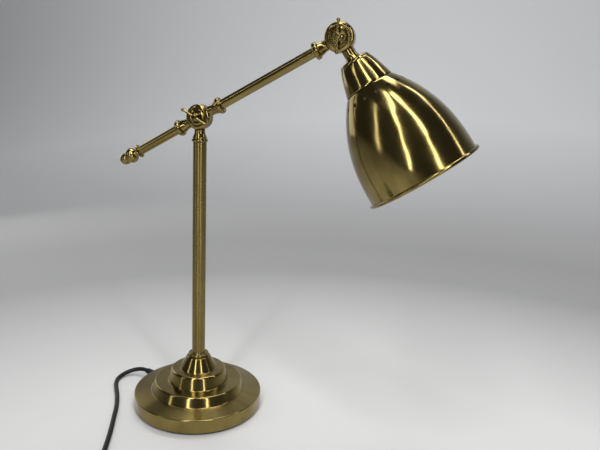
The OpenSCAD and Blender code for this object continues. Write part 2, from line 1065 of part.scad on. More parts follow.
// A round tube of the given number of sides swept along p
module tube(p, r, sides) {
    n = len(p);
    points = [
        for (i = [0 : n - 1])
            let (
                ahead = unit(p[min(i + 1, n - 1)] - p[max(i - 1, 0)]),
                side = unit(cross(ahead, [0, 0, 1])),
                up = cross(side, ahead)
            )
            for (k = [0 : sides - 1])
                let (a = 360 * (k + 0.5) / sides)
                p[i] + r * (cos(a) * side + sin(a) * up)
    ];
    walls = [
        for (i = [0 : n - 2], k = [0 : sides - 1])
            let (a = i * sides + k, b = i * sides + (k + 1) % sides)
            each [[a, b, b + sides], [a, b + sides, a + sides]]
    ];
    start = [for (k = [1 : sides - 2]) [0, k + 1, k]];
    end = [for (k = [1 : sides - 2]) [0, k, k + 1] + (n - 1) * sides * [1, 1, 1]];
    polyhedron(points = points, faces = concat(walls, start, end));
}

// Where the cord leaves the bush, and a point one diameter straight out
function outlet_point(r) = [r * cos(outlet_turn), r * sin(outlet_turn), outlet_h];

// From the base, round to its left and past it, into the switch
near_route = [
    outlet_point(bush_tip),
    outlet_point(bush_tip + 1.5),
    outlet_point(bush_tip + 3),
    [-108.3, 42.6, 9.6],
    [-116.4, 41.9, 8.6],
    [-123.8, 38.4, 7],
    [-129.6, 32.7, 5.3],
    [-133, 25.3, 3.9],
    [-133.7, 17.1, 3.1],
    [-132, 10.2, 3],
    [-127, -0.5, 3],
    [-119, -12.5, 3],
    [-110.5, -25, 3],
    [-101.5, -40, 3],
    [-92.5, -57, 3],
    [-84, -76, 3],
    [-70, -107, 3],
    [-57, -139, 3],
    [-51, -157, 3.4],
    [-48.6, -172, 5.8],
    [-47.1, -180, 7.5],
    [-45.5, -186, 7.5],
];

// From the switch, back under it to the coil
mid_route = [
    [-30.5, -242, 7.5],
    [-28.9, -247.8, 7.5],
    [-28.2, -255.9, 7],
    [-30.4, -263.8, 5.9],
    [-35, -270.5, 4.4],
    [-41.7, -275.2, 3.3],
    [-49.6, -277.3, 3],
    [-60, -277.4, 3],
    [-75, -277.4, 3],
    [-90, -277.4, 3.2],
    [-101, -277.4, 3.7],
    [-106, -277.4, 3.7],
];

// From the coil to the plug
tail_route = [
    [-118, -277.4, 10.4],
    [-122, -277.4, 10.4],
    [-127, -277.4, 10],
    [-135, -277.4, 9],
    [-145, -277.4, 7.5],
    [-154, -277.4, 6.9],
    [-160, -277.4, 6.9],
];

// The coil: a spiral in on the lower layer, a climb, and a spiral out on the upper layer
coil_centre = [-112, -235];
coil_inner_r = 24.5;
coil_pitch = 6.5;
coil_layer = [3.7, 10.4];
coil_turns = 6;
coil_steps = 24;

function coil_r(t) = coil_inner_r + coil_pitch * (sqrt(pow(t - coil_turns / 2, 2) + 0.005) - 0.25);

function coil_z(t) =
    let (u = max(0, min(1, 2 * (t - coil_turns / 2) + 0.5)))
    coil_layer[0] + (coil_layer[1] - coil_layer[0]) * u * u * (3 - 2 * u);

function coil_point(t) = [
    coil_centre.x + coil_r(t) * sin(-360 * t),
    coil_centre.y - coil_r(t) * cos(-360 * t),
    coil_z(t),
];

coil_route = concat(
    [coil_point(0) + [cord_d, 0, 0]],
    [for (i = [0 : coil_turns * coil_steps]) coil_point(i / coil_steps)],
    [coil_point(coil_turns) - [cord_d, 0, 0]]
);

// Least gap between one turn and the next, on the coil's own points
coil_gap = min([
    for (i = [0 : len(coil_route) - 1], j = [i + coil_steps / 2 : len(coil_route) - 1])
        norm(coil_route[i] - coil_route[j])
]) - cord_d;

module cord_near() {
    color(black)
        tube(smooth(near_route, 2), cord_r, 12);
}

module cord_mid() {
    color(black)
        tube(smooth(mid_route, 1), cord_r, 12);
}

module cord_tail() {
    color(black)
        tube(tail_route, cord_r, 12);
}

module cord_coil() {
    color(black)
        tube(coil_route, cord_r, 6);
}

// A flat tie round the bundle of turns, on the side away from the cord's ends
module coil_tie() {
    t = 0.6;
    low_y = coil_r(coil_turns / 2 - 0.5) - cord_r - 0.3;
    high_y = coil_r(0.5) + cord_r + 0.3;
    top_z = coil_layer[1] + cord_r + 0.3;
    color(black)
        translate([coil_centre.x + 2.5, coil_centre.y, 0])
            rotate([0, -90, 0])
                linear_extrude(5)
                    difference() {
                        polygon(rounded([
                            [0, low_y - t, 2], [0, high_y + t, 2],
                            [top_z + t, high_y + t, 3], [top_z + t, low_y - t, 3],
                        ]));
                        polygon(rounded([
                            [t, low_y, 1.4], [t, high_y, 1.4],
                            [top_z, high_y, 2.4], [top_z, low_y, 2.4],
                        ]));
                    }
}

// ---- switch ----

switch_at = [-38, -214];
switch_turn = -75;
split_z = switch_h / 2;
rocker_l = 20;
rocker_w = 9;
pivot_z = switch_h - 1.6;
pivot_r = 1.2;

module at_switch() {
    translate([switch_at.x, switch_at.y, 0])
        rotate([0, 0, switch_turn])
            children();
}

// Plan of the housing, drawn in by d all round
function switch_plan(d) =
    let (x = switch_l / 2 - d, y = switch_w / 2 - d, e = 6.5 - d / 2)
    rounded([
        [-x, -e, 2], [-x + 9, -y, 5], [x - 9, -y, 5], [x, -e, 2],
        [x, e, 2], [x - 9, y, 5], [-x + 9, y, 5], [-x, e, 2],
    ]);

module switch_cord_holes() {
    for (a = [0, 180])
        rotate([0, 0, a])
            translate([switch_l / 2 - 9, 0, split_z])
                rotate([0, 90, 0])
                    cylinder(r = cord_r + pass, h = 10);
}

module switch_screw_places() {
    for (x = [-14.5, 14.5])
        translate([x, 0, 0])
            children();
}

module switch_bottom() {
    color(black)
        at_switch()
            difference() {
                union() {
                    linear_extrude(1)
                        polygon(switch_plan(0.8));
                    translate([0, 0, 0.99])
                        linear_extrude(split_z - 0.99)
                            polygon(switch_plan(0));
                }
                switch_cord_holes();
                switch_screw_places()
                    translate([0, 0, -0.01]) {
                        cylinder(r = 3, h = 1.5);
                        cylinder(r = 1.5 + pass, h = split_z + 1);
                    }
            }
}

module switch_top() {
    color(black)
        at_switch()
            difference() {
                union() {
                    translate([0, 0, split_z])
                        linear_extrude(switch_h - split_z - 1.4)
                            polygon(switch_plan(0));
                    translate([0, 0, switch_h - 1.41])
                        linear_extrude(1.41)
                            polygon(switch_plan(1.2));
                }
                switch_cord_holes();
                switch_screw_places()
                    cylinder(r = 1.5 - slip, h = split_z + 3);
                translate([-rocker_l / 2 - 0.5, -rocker_w / 2 - open, pivot_z - 5.4])
                    cube([rocker_l + 1, rocker_w + 2 * open, switch_h]);
                translate([0, rocker_w / 2 + 1.4, pivot_z - 3])
                    rotate([90, 0, 0])
                        cylinder(r = pivot_r + 0.06, h = rocker_w + 2.8);
            }
}

rocker_rest = 6;

// Rocker, drawn at its off end of travel, with its pivot pins
module switch_rocker() {
    color([0.1, 0.1, 0.1])
        at_switch()
            translate([0, 0, pivot_z - 3])
                rotate([0, rocker_rest, 0]) {
                    translate([0, rocker_w / 2, 0])
                        rotate([90, 0, 0])
                            linear_extrude(rocker_w)
                                polygon([
                                    [-rocker_l / 2 + 1, 1.2], [-4, -1.6], [4, -1.6],
                                    [rocker_l / 2 - 1, 1.2], [rocker_l / 2 - 0.6, 5.4],
                                    [0, 3.6], [-rocker_l / 2 + 0.6, 5.4],
                                ]);
                    translate([0, rocker_w / 2 + 1.2, 0])
                        rotate([90, 0, 0])
                            cylinder(r = pivot_r, h = rocker_w + 2.4);
                }
}

module switch_screws() {
    color(steel)
        at_switch()
            switch_screw_places() {
                translate([0, 0, 0.2])
                    cylinder(r = 2.7, h = 1.29);
                translate([0, 0, 1.4])
                    cylinder(r = 1.5 - 2 * slip, h = split_z);
            }
}

// ---- plug ----

plug_x = tail_route[len(tail_route) - 1].x;
plug_y = tail_route[0].y;
plug_mid_z = plug_h / 2;
plug_relief_l = 22;
pin_root_r = pin_d / 2 + 0.6;
pin_root_l = 8;

// +Z runs from the cord to the pins
module along_plug() {
    translate([plug_x, plug_y, plug_mid_z])
        rotate([0, -90, 0])
            children();
}

module plug_relief() {
    ribs = 5;
    step = plug_relief_l / ribs;
    color(black)
        along_plug()
            turned(concat(
                [[0, 0], [cord_r + 0.8, 0]],
                [
                    for (k = [0 : ribs - 1])
                        let (r = cord_r + 0.8 + k * 0.22)
                        each [
                            [r, (k + 0.1) * step],
                            [r + 0.2, (k + 0.6) * step],
                            [r - 0.4, (k + 0.65) * step],
                            [r - 0.4, (k + 0.98) * step],
                        ]
                ],
                [[cord_r + 1, plug_relief_l], [0, plug_relief_l]]
            ));
}

module plug_body() {
    front = plug_w / 2;
    color(black)
        along_plug()
            translate([0, 0, plug_relief_l])
                rotate([90, 0, 90])
                    translate([0, 0, -plug_h / 2])
                        difference() {
                            linear_extrude(plug_h)
                                polygon(rounded([
                                    [-6.5, 0, 1.5], [6.5, 0, 1.5], [8.5, 9, 6],
                                    [front, 22, 5], [front, plug_l, 1.2],
                                    [-front, plug_l, 1.2], [-front, 22, 5], [-8.5, 9, 6],
                                ]));
                            for (y = [-pin_space / 2, pin_space / 2])
                                translate([y, plug_l + 1, plug_h / 2])
                                    rotate([90, 0, 0])
                                        cylinder(r = pin_root_r + slip, h = pin_root_l + 1);
                        }
}

module plug_pins() {
    color(dark_brass)
        along_plug()
            for (y = [-pin_space / 2, pin_space / 2])
                translate([0, y, plug_relief_l + plug_l]) {
                    translate([0, 0, -pin_root_l])
                        cylinder(r = pin_root_r, h = pin_root_l);
                    cylinder(r = pin_d / 2, h = pin_l - pin_d / 2);
                    translate([0, 0, pin_l - pin_d / 2])
                        sphere(r = pin_d / 2);
                }
}

echo(coil_gap = coil_gap);
echo(cord_length = [
    length_of(smooth(near_route, 2)), switch_l, length_of(mid_route),
    length_of(coil_route), length_of(tail_route),
]);

base_shell();
base_weight();
base_plate();
base_pad();
plate_screws();
cord_bush();
stem_rod();
rod_washer();
rod_nut();
stem_insert();
stem_collar();
stem_tube();
stem_knuckle();
stem_lead();
arm_friction_washer();
arm_knuckle();
long_arm_tube();
short_arm_tube();
finial();
arm_end_knuckle();
arm_lead();
head_friction_washer();
arm_screw();
arm_screw_bar();
arm_screw_washer();
head_screw();
head_screw_bar();
head_screw_washer();
shade_knuckle();
nipple();
nipple_nut();
shade_cup();
shade();
shade_ring();
holder_cap();
holder_body();
holder_shell();
holder_contact();
terminal_screws();
head_lead();
bulb_cap();
bulb_glass();
bulb_filament();
cord_near();
cord_mid();
cord_coil();
cord_tail();
coil_tie();
switch_bottom();
switch_top();
switch_rocker();
switch_screws();
plug_body();
plug_pins();
plug_relief();
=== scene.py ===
"""A dome shade desk lamp of toned brass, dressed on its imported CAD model. Lengths are in metres."""

import json

import bmesh
import bpy
import numpy as np
from mathutils import Matrix, Vector


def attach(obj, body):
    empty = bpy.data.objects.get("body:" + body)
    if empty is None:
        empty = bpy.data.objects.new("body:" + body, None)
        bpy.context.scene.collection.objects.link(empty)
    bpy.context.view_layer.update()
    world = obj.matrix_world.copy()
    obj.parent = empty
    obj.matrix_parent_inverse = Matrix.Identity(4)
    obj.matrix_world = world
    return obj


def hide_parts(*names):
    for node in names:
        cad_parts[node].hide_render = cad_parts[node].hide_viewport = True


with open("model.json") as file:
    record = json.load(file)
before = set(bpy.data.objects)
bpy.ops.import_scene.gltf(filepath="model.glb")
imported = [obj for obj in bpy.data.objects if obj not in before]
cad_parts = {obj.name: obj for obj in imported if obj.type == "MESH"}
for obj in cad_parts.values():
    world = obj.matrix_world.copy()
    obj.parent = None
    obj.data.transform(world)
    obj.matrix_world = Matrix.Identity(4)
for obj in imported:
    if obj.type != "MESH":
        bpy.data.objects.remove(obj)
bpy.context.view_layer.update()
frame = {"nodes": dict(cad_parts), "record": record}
nodes = frame["nodes"]
MM = 0.001

# ---- camera ----

# The photograph's view: where the lens was and how it was turned, then, in pixels, the picture's
# width, the focal length, and how far the lens's axis lies beside the picture's middle.
LENS_AT = (0.29612, -0.67817, 0.41269)
YAW, DOWN, ROLL = np.radians([-15.17, 12.32, 2.16])
PICTURE_W, FOCAL, SHIFT = 600, 582.54, 16.5
SENSOR_W = 36


def make_camera():
    """The camera's axes: forward from yaw and pitch, then right and up turned about it by roll."""
    forward = np.array([np.sin(YAW) * np.cos(DOWN), np.cos(YAW) * np.cos(DOWN), -np.sin(DOWN)])
    level = np.array([np.cos(YAW), -np.sin(YAW), 0])
    upward = np.cross(level, forward)
    right = np.cos(ROLL) * level + np.sin(ROLL) * upward
    up = np.cos(ROLL) * upward - np.sin(ROLL) * level
    lens = bpy.data.cameras.new("camera")
    lens.sensor_width = SENSOR_W
    lens.lens = SENSOR_W * (FOCAL / PICTURE_W)
    lens.shift_x = SHIFT / PICTURE_W
    lens.clip_start, lens.clip_end = 0.01, 50
    camera = bpy.data.objects.new("camera", lens)
    axes = Matrix((right, up, -forward)).transposed().to_4x4()
    camera.matrix_world = Matrix.Translation(LENS_AT) @ axes
    bpy.context.collection.objects.link(camera)
    bpy.context.scene.camera = camera


make_camera()

# ---- meshes ----

SAME_SPOT = 1e-7  # points nearer than this are one point
CREASE = 40  # an edge of sheet metal that turns by more than this, in degrees, stays sharp


def piece(name, points, faces, finish, crease=None):
    """A smooth mesh object at the origin, with its place in its points. Doubles are merged, and
    edges that turn by more than crease, in degrees, stay sharp."""
    mesh = bpy.data.meshes.new(name)
    corners = np.asarray(points).reshape(-1, 3).tolist()
    mesh.from_pydata(corners, [], [list(map(int, face)) for face in faces])
    build = bmesh.new()
    build.from_mesh(mesh)
    bmesh.ops.remove_doubles(build, verts=build.verts, dist=SAME_SPOT)
    build.to_mesh(mesh)
    build.free()
    mesh.shade_smooth()
    if crease:
        mesh.set_sharp_from_angle(angle=np.radians(crease))
    mesh.materials.append(finish)
    made = bpy.data.objects.new(name, mesh)
    bpy.context.collection.objects.link(made)
    return made


def grid_faces(rows, columns, wrap=True, first=0):
    """Quads between neighbours in a grid whose points run row by row from the index first. With
    wrap, the last column also joins the first one."""
    i, j = np.meshgrid(np.arange(rows - 1), np.arange(columns - (not wrap)), indexing="ij")
    k = (j + 1) % columns
    row, after = i * columns, (i + 1) * columns
    return np.stack([row + j, row + k, after + k, after + j], -1).reshape(-1, 4) + first


def ring_faces(a, b, columns):
    """Quads between a ring of points that starts at the index a and one that starts at b."""
    return [[a + j, a + (j + 1) % columns, b + (j + 1) % columns, b + j] for j in range(columns)]


def unit(rows):
    """Each row brought to length 1."""
    return rows / np.linalg.norm(rows, axis=1)[:, None]


def curve_through(route, steps):
    """A Catmull-Rom curve: each stretch b to c is the cubic that passes both ends with the slopes
    (c - a) / 2 and (d - b) / 2, and a and d carry the route straight on past its ends."""
    p = np.asarray(route, float)
    p = np.vstack([2 * p[0] - p[1], p, 2 * p[-1] - p[-2]])
    a, b, c, d = (p[k : len(p) - 3 + k, None] for k in range(4))
    t = (np.arange(steps) / steps)[None, :, None]
    bend, twist = 2 * a - 5 * b + 4 * c - d, 3 * b - a - 3 * c + d
    curve = 0.5 * (2 * b + (c - a) * t + bend * t**2 + twist * t**3)
    return np.vstack([curve.reshape(-1, 3), p[-2:-1]])


def flex(name, path, radius, finish, sides=16):
    """A round tube: point (i, j) is path i, plus radius times cos(a) sideways and sin(a) upwards
    of the path, where a is -2 pi j / sides. Each end shrinks to its centre over three rings."""
    path = np.asarray(path)
    along = unit(np.gradient(path, axis=0))
    across = unit(np.cross(along, [0, 0, 1]))
    above = np.cross(across, along)
    a = -2 * np.pi * np.arange(sides) / sides
    ring = across[:, None] * np.cos(a)[:, None] + above[:, None] * np.sin(a)[:, None]
    shrink = np.array([0.02, 0.6, 0.92])
    ends = len(shrink)
    at = np.concatenate([[0] * ends, np.arange(len(path)), [len(path) - 1] * ends])
    size = np.concatenate([shrink, np.ones(len(path)), shrink[::-1]]) * radius
    points = path[at][:, None] + ring[at] * size[:, None, None]
    rows = len(at)
    faces = grid_faces(rows, sides).tolist()
    faces += [list(range(sides))[::-1], list(range((rows - 1) * sides, rows * sides))]
    return piece(name, points, faces, finish)


def on_axis(radius, angle, along, origin, turn):
    """Points (radius cos angle, radius sin angle, along), turned about Y and moved to origin."""
    x, y = radius * np.cos(angle), radius * np.sin(angle)
    z = along + 0 * angle
    turned_x = x * np.cos(turn) + z * np.sin(turn)
    turned_z = z * np.cos(turn) - x * np.sin(turn)
    return np.stack([turned_x, y, turned_z], -1) + origin


def inside(line, sheet):
    """The line (radius, along) moved a sheet's thickness to its left, the metal's inner side."""
    way = unit(np.gradient(line, axis=0))
    return line + sheet * np.stack([-way[:, 1], way[:, 0]], 1)


def turned(name, line, finish, origin, turn, columns=144):
    """A closed line (radius, along) turned about its axis: row i holds point i at every angle."""
    angle = 2 * np.pi * np.arange(columns) / columns
    points = on_axis(line[:, :1], angle[None], line[:, 1:], origin, turn)
    faces = grid_faces(len(line), columns).tolist()
    faces += ring_faces((len(line) - 1) * columns, 0, columns)
    return piece(name, points, faces, finish, CREASE)


# ---- finishes ----


class Socket:
    """One output of a material's nodes. Arithmetic on it adds Math nodes."""

    def __init__(self, finish, out):
        self.finish, self.out = finish, out

    def math(self, operation, *values):
        return self.finish.add("ShaderNodeMath", {"operation": operation}, *values)

    def __add__(self, other):
        return self.math("ADD", self, other)

    def __mul__(self, other):
        return self.math("MULTIPLY", self, other)

    def __truediv__(self, other):
        return self.math("DIVIDE", self, other)

    def __pow__(self, other):
        return self.math("POWER", self, other)


class Finish:
    """A material whose patterns lie on the object's own coordinates, in metres."""

    def __init__(self, name, **fixed):
        self.material = bpy.data.materials.new(name)
        self.material.use_nodes = True
        self.tree = self.material.node_tree
        self.tree.nodes.clear()
        self.surface = self.tree.nodes.new("ShaderNodeBsdfPrincipled")
        output = self.tree.nodes.new("ShaderNodeOutputMaterial")
        self.tree.links.new(self.surface.outputs[0], output.inputs["Surface"])
        self.set(**fixed)

    def add(self, kind, settings=None, *values, out=0, **named):
        """A node: its settings, then its sockets by place or by name. Gives the output wanted."""
        node = self.tree.nodes.new(kind)
        for key, value in (settings or {}).items():
            setattr(node, key, value)
        for socket, value in [*enumerate(values), *named.items()]:
            self.feed(node.inputs[socket], value)
        return Socket(self, node.outputs[out])

    def feed(self, socket, value):
        if isinstance(value, Socket):
            self.tree.links.new(value.out, socket)
        elif socket.type == "RGBA":
            socket.default_value = (*value, 1)
        else:
            socket.default_value = value

    def set(self, **values):
        for name, value in values.items():
            self.feed(self.surface.inputs[name.replace("_", " ")], value)

    def place(self, origin=(0, 0, 0), turn=0.0):
        """Object coordinates seen from an axis through origin that is turned about Y from +Z."""
        where = self.add("ShaderNodeTexCoord", None, out="Object")
        settings = {"vector_type": "TEXTURE"}
        return self.add("ShaderNodeMapping", settings, where, origin, (0, turn, 0))

    def parts(self, vector):
        return [self.add("ShaderNodeSeparateXYZ", None, vector, out=k) for k in range(3)]

    def vector(self, x, y, z):
        return self.add("ShaderNodeCombineXYZ", None, x, y, z)

    def noise(self, vector, scale, detail=3.0, rough=0.55):
        return self.add(
            "ShaderNodeTexNoise", None, Vector=vector, Scale=scale, Detail=detail, Roughness=rough
        )

    def mix(self, factor, a, b):
        """The colour a where factor is 0 and b where it is 1. A Mix node has its colours at the
        inputs 6 and 7, and its colour result at the output 2."""
        node = self.tree.nodes.new("ShaderNodeMix")
        node.data_type = "RGBA"
        for socket, value in ((0, factor), (6, a), (7, b)):
            self.feed(node.inputs[socket], value)
        return Socket(self, node.outputs[2])

    def range(self, value, low, high, to_low, to_high):
        """value carried from low..high to to_low..to_high, and held there outside."""
        return self.add("ShaderNodeMapRange", {"clamp": True}, value, low, high, to_low, to_high)

    def bump(self, height, depth):
        """A relief of the given depth in metres where height goes from 0 to 1."""
        relief = self.add("ShaderNodeBump", None, Strength=1.0, Distance=depth, Height=height)
        self.set(Normal=relief)
        return self


DEEP, TONED, WARM = (0.14, 0.1, 0.032), (0.25, 0.19, 0.062), (0.38, 0.29, 0.1)
SHADE_TURN, ARM_TURN = np.radians(145.3), np.radians(60.7)
ARM_AT, HEAD_AT = (0, 0, 0.3856), (0.170315, 0, 0.481176)
LATHE_MARKS = 1400  # per metre


def toned_brass(name, origin=(0, 0, 0), turn=0.0, gloss=0.14, lathed=0.0, waves=0.0, **fixed):
    """Lacquered antique brass on a turned axis. Clouds darken it and bands warm it, smudges change
    its gloss, fine lathe marks run round the axis, and slow waves of the given depth in metres run
    along it."""
    f = Finish(name, Metallic=1.0, Coat_Weight=0.1, Coat_Roughness=0.05, **fixed)
    local = f.place(origin, turn)
    x, y, z = f.parts(local)
    radius = (x * x + y * y) ** 0.5
    off_axis = radius + 0.0001
    around_x, around_y = x / off_axis, y / off_axis
    clouds = f.range(f.noise(local, 24, 4), 0.36, 0.7, 0, 0.55)
    colour = f.mix(clouds, TONED, DEEP)
    bands = f.noise(f.vector(around_x * 2, around_y * 2, z * 12), 1.6, 3)
    colour = f.mix(f.range(bands, 0.45, 0.72, 0, 0.5), colour, WARM)
    marks = f.noise(f.vector(radius * LATHE_MARKS, z * LATHE_MARKS, around_x * 0.6), 1, 2)
    smudge = f.range(f.noise(local, 48, 5, 0.6), 0.45, 0.75, 0, 0.07)
    f.set(Base_Color=colour, Roughness=smudge + marks * lathed + gloss)
    if waves:
        f.bump(f.noise(f.vector(around_x * 2.4, around_y * 2.4, z * 26), 1, 1), waves)
    return f.material


def plain_metal(name, colour, dull, gloss, grain=220):
    """Plated or bare small metal parts: a fine grain in the gloss and a faint cloud of dull."""
    f = Finish(name, Metallic=1.0)
    where = f.place()
    f.set(
        Base_Color=f.mix(f.range(f.noise(where, 60), 0.4, 0.7, 0, 0.5), colour, dull),
        Roughness=f.noise(where, grain, 2) * 0.16 + gloss,
    )
    return f.bump(f.noise(where, grain * 3, 2), 0.00001).material


def moulded(name, colour, gloss, grain, depth, lighter=1.5):
    """Moulded plastic or rubber: an even colour with a faint bloom, and a fine skin."""
    f = Finish(name, Specular_IOR_Level=0.35)
    where = f.place()
    bloom = f.range(f.noise(where, 40, 4), 0.4, 0.75, 0, 1)
    pale = tuple(min(1, c * lighter) for c in colour)
    f.set(
        Base_Color=f.mix(bloom, colour, pale),
        Roughness=f.noise(where, grain * 0.3, 2) * 0.14 + gloss,
    )
    return f.bump(f.noise(where, grain, 3), depth).material


def felted(name, colour, pale):
    """Pressed felt: short fibres, so a rough skin with no gloss."""
    f = Finish(name, Roughness=0.95, Sheen_Weight=0.3)
    fibres = f.noise(f.place(), 900, 4, 0.7)
    f.set(Base_Color=f.mix(f.range(fibres, 0.35, 0.7, 0, 1), colour, pale))
    return f.bump(fibres, 0.0002).material


def clear_glass(name):
    """Thin clear glass with a faint unevenness of its skin."""
    f = Finish(name, Base_Color=(0.97, 0.97, 0.95), Transmission_Weight=1.0, IOR=1.45)
    f.set(Roughness=f.range(f.noise(f.place(HEAD_AT), 70), 0.4, 0.8, 0.01, 0.05))
    return f.material


def phosphor(name):
    """Coated filament sticks on a glass stem."""
    f = Finish(name, Roughness=0.5)
    where = f.place()
    f.set(Base_Color=f.mix(f.noise(where, 500, 2), (0.92, 0.66, 0.18), (0.95, 0.82, 0.45)))
    return f.bump(f.noise(where, 1500, 2), 0.00003).material


# The stretch of a brushed gloss, in turns from Blender's default tangent, which runs about Z.
BRUSHED = 0.25
base_brass = toned_brass(
    "base_brass", gloss=0.17, lathed=0.04, Anisotropic=0.85, Anisotropic_Rotation=BRUSHED
)
stem_brass = toned_brass(
    "stem_brass", gloss=0.26, lathed=0.03, Anisotropic=0.9, Anisotropic_Rotation=BRUSHED
)
arm_brass = toned_brass("arm_brass", ARM_AT, ARM_TURN, gloss=0.13, lathed=0.04)
turned_brass = toned_brass("turned_brass", gloss=0.12)
head_brass = toned_brass("head_brass", HEAD_AT, SHADE_TURN, gloss=0.12)
# The shade's inner brass: partly a plainer, duller inner finish, partly painted shade that darkens
# the dome's inside and its vents.
inner_brass_and_painted_shade = plain_metal("inner_brass_and_painted_shade", (0.13, 0.095, 0.036), (0.08, 0.058, 0.022), 0.42)
shade_brass = toned_brass(
    "shade_brass", HEAD_AT, SHADE_TURN, gloss=0.11, lathed=0.03, waves=0.0008
)
contact_brass = plain_metal("contact_brass", (0.75, 0.58, 0.27), (0.5, 0.38, 0.17), 0.25)
zinc = plain_metal("zinc", (0.62, 0.62, 0.63), (0.42, 0.42, 0.44), 0.3)
nickel = plain_metal("nickel", (0.78, 0.78, 0.76), (0.6, 0.6, 0.58), 0.16)
cast_iron = plain_metal("cast_iron", (0.13, 0.13, 0.14), (0.06, 0.06, 0.06), 0.6, 120)
pad_felt = felted("pad_felt", (0.02, 0.02, 0.021), (0.07, 0.07, 0.07))
flex_rubber = moulded("flex_rubber", (0.005, 0.005, 0.0055), 0.42, 700, 0.00002)
black_plastic = moulded("black_plastic", (0.02, 0.02, 0.021), 0.38, 1400, 0.00002)
fibre = moulded("fibre", (0.16, 0.09, 0.05), 0.75, 900, 0.00005)
holder_plastic = moulded("holder_plastic", (0.8, 0.79, 0.74), 0.42, 800, 0.00002, 1.08)
bulb_clear = clear_glass("bulb_clear")
sticks = phosphor("sticks")

BY_SLOT = {
    "antique_brass": turned_brass,
    "contact_brass": contact_brass,
    "zinc_steel": zinc,
    "cap_metal": nickel,
    "cast_weight": cast_iron,
    "felt": pad_felt,
    "black_rubber": flex_rubber,
    "black_plastic": black_plastic,
    "fibre": fibre,
    "holder_plastic": holder_plastic,
    "bulb_glass": bulb_clear,
    "filament": sticks,
}
BY_NODE = {
    "base_shell": base_brass,
    "stem_tube": stem_brass,
    "stem_collar": stem_brass,
    "long_arm_tube": arm_brass,
    "short_arm_tube": arm_brass,
    "finial": arm_brass,
    "shade_knuckle": head_brass,
    "shade_cup": shade_brass,
    "shade": shade_brass,
}
for part in frame["record"]["subparts"]:
    finish = BY_NODE.get(part["node"], BY_SLOT[part["material_slot"]])
    for place in nodes[part["node"]].material_slots:
        place.material = finish

# ---- cord ----

FLEX = 0.006
OUTLET, OUTLET_H = np.radians(158), 9.9  # the cord's way out of the base, and its height in mm


def outlet(r):
    """A point of the cord's straight exit, r mm from the base's axis."""
    return [r * np.cos(OUTLET), r * np.sin(OUTLET), OUTLET_H]


near_route = np.array([
    outlet(106.5), outlet(108), outlet(109.5), [-108.3, 42.6, 9.6], [-116.4, 41.9, 8.6],
    [-123.8, 38.4, 7], [-129.6, 32.7, 5.3], [-133, 25.3, 3.9], [-133.7, 17.1, 3.1], [-132, 10.2, 3],
    [-127, -0.5, 3], [-119, -12.5, 3], [-110.5, -25, 3], [-101.5, -40, 3], [-92.5, -57, 3],
    [-84, -76, 3], [-70, -107, 3], [-57, -139, 3], [-51, -157, 3.4], [-48.6, -172, 5.8],
    [-47.1, -180, 7.5], [-45.5, -186, 7.5],
]) * MM
mid_route = np.array([
    [-30.5, -242, 7.5], [-28.9, -247.8, 7.5], [-28.2, -255.9, 7], [-30.4, -263.8, 5.9],
    [-35, -270.5, 4.4], [-41.7, -275.2, 3.3], [-49.6, -277.3, 3], [-60, -277.4, 3],
    [-75, -277.4, 3], [-90, -277.4, 3.2], [-101, -277.4, 3.7], [-106, -277.4, 3.7],
]) * MM
tail_route = np.array([
    [-118, -277.4, 10.4], [-122, -277.4, 10.4], [-127, -277.4, 10], [-135, -277.4, 9],
    [-145, -277.4, 7.5], [-154, -277.4, 6.9], [-160, -277.4, 6.9],
]) * MM


def coil_route(turns=6, steps=40):
    """A flat coil in two layers. At turn t the radius in mm is
    24.5 + 6.5 (sqrt((t - 3)^2 + 0.005) - 0.25), so it winds in for three turns and out for three.
    The height climbs smoothly from 3.7 mm by a layer of 6.7 mm, from a quarter turn before t = 3 to
    a quarter turn after it."""
    middle_x, middle_y = -112, -235
    inner, pitch, rounding = 24.5, 6.5, 0.005
    low, layer = 3.7, 6.7
    t = np.linspace(0, turns, turns * steps + 1)
    r = inner + pitch * (np.sqrt((t - turns / 2) ** 2 + rounding) - 0.25)
    u = np.clip(2 * (t - turns / 2) + 0.5, 0, 1)
    z = low + layer * u * u * (3 - 2 * u)
    angle = -2 * np.pi * t
    return np.stack([middle_x + r * np.sin(angle), middle_y - r * np.cos(angle), z], 1) * MM


near_path = curve_through(near_route, 6)
far_path = np.vstack([
    curve_through(mid_route, 6)[:-1], mid_route[-1:], coil_route(), curve_through(tail_route, 5),
])

near_flex = flex("near_flex", near_path, FLEX / 2, flex_rubber)
far_flex = flex("far_flex", far_path, FLEX / 2, flex_rubber)
FAR_NODES = ["cord_mid", "cord_coil", "cord_tail"]
for cable, hidden in ((near_flex, ["cord_near"]), (far_flex, FAR_NODES)):
    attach(cable, "lamp_base")
    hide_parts(*hidden)

# ---- shade and cup ----

# Distances along run down the shade's axis from its joint. The dome starts at the seam.
SEAM, DOME_H, SHEET = 64 * MM, 119 * MM, 1 * MM
TOP_R, MOUTH_R, SWELL = 28.9 * MM, 65.8 * MM, 2.55
HOLE_R = 14.2 * MM
BEAD_R = 2.1 * MM
VENTS, VENT_R, VENT_AT = 16, 2.1 * MM, 11.4 * MM
TOP_GAP, MOUTH_GAP = 1.4 * MM, 1.75 * MM  # from the wall's first and last row to the dome's ends


def dome_radius(along):
    """The dome's radius at a distance along the axis: from top to mouth, with u from 0 to 1, it
    swells as 1 - (1 - u)^2.55."""
    u = np.clip((along - SEAM) / DOME_H, 0, 1)
    return TOP_R + (MOUTH_R - TOP_R) * (1 - (1 - u) ** SWELL)


def dome_wall(along, angle, depth):
    """A point of the dome's wall, moved in from its outer face by depth along the wall's normal."""
    step = 0.05 * MM
    slope = (dome_radius(along + step) - dome_radius(along - step)) / (2 * step)
    across = np.sqrt(1 + slope**2)
    radius, moved = dome_radius(along) - depth / across, along + depth * slope / across
    return on_axis(radius, angle, moved, HEAD_AT, SHADE_TURN)


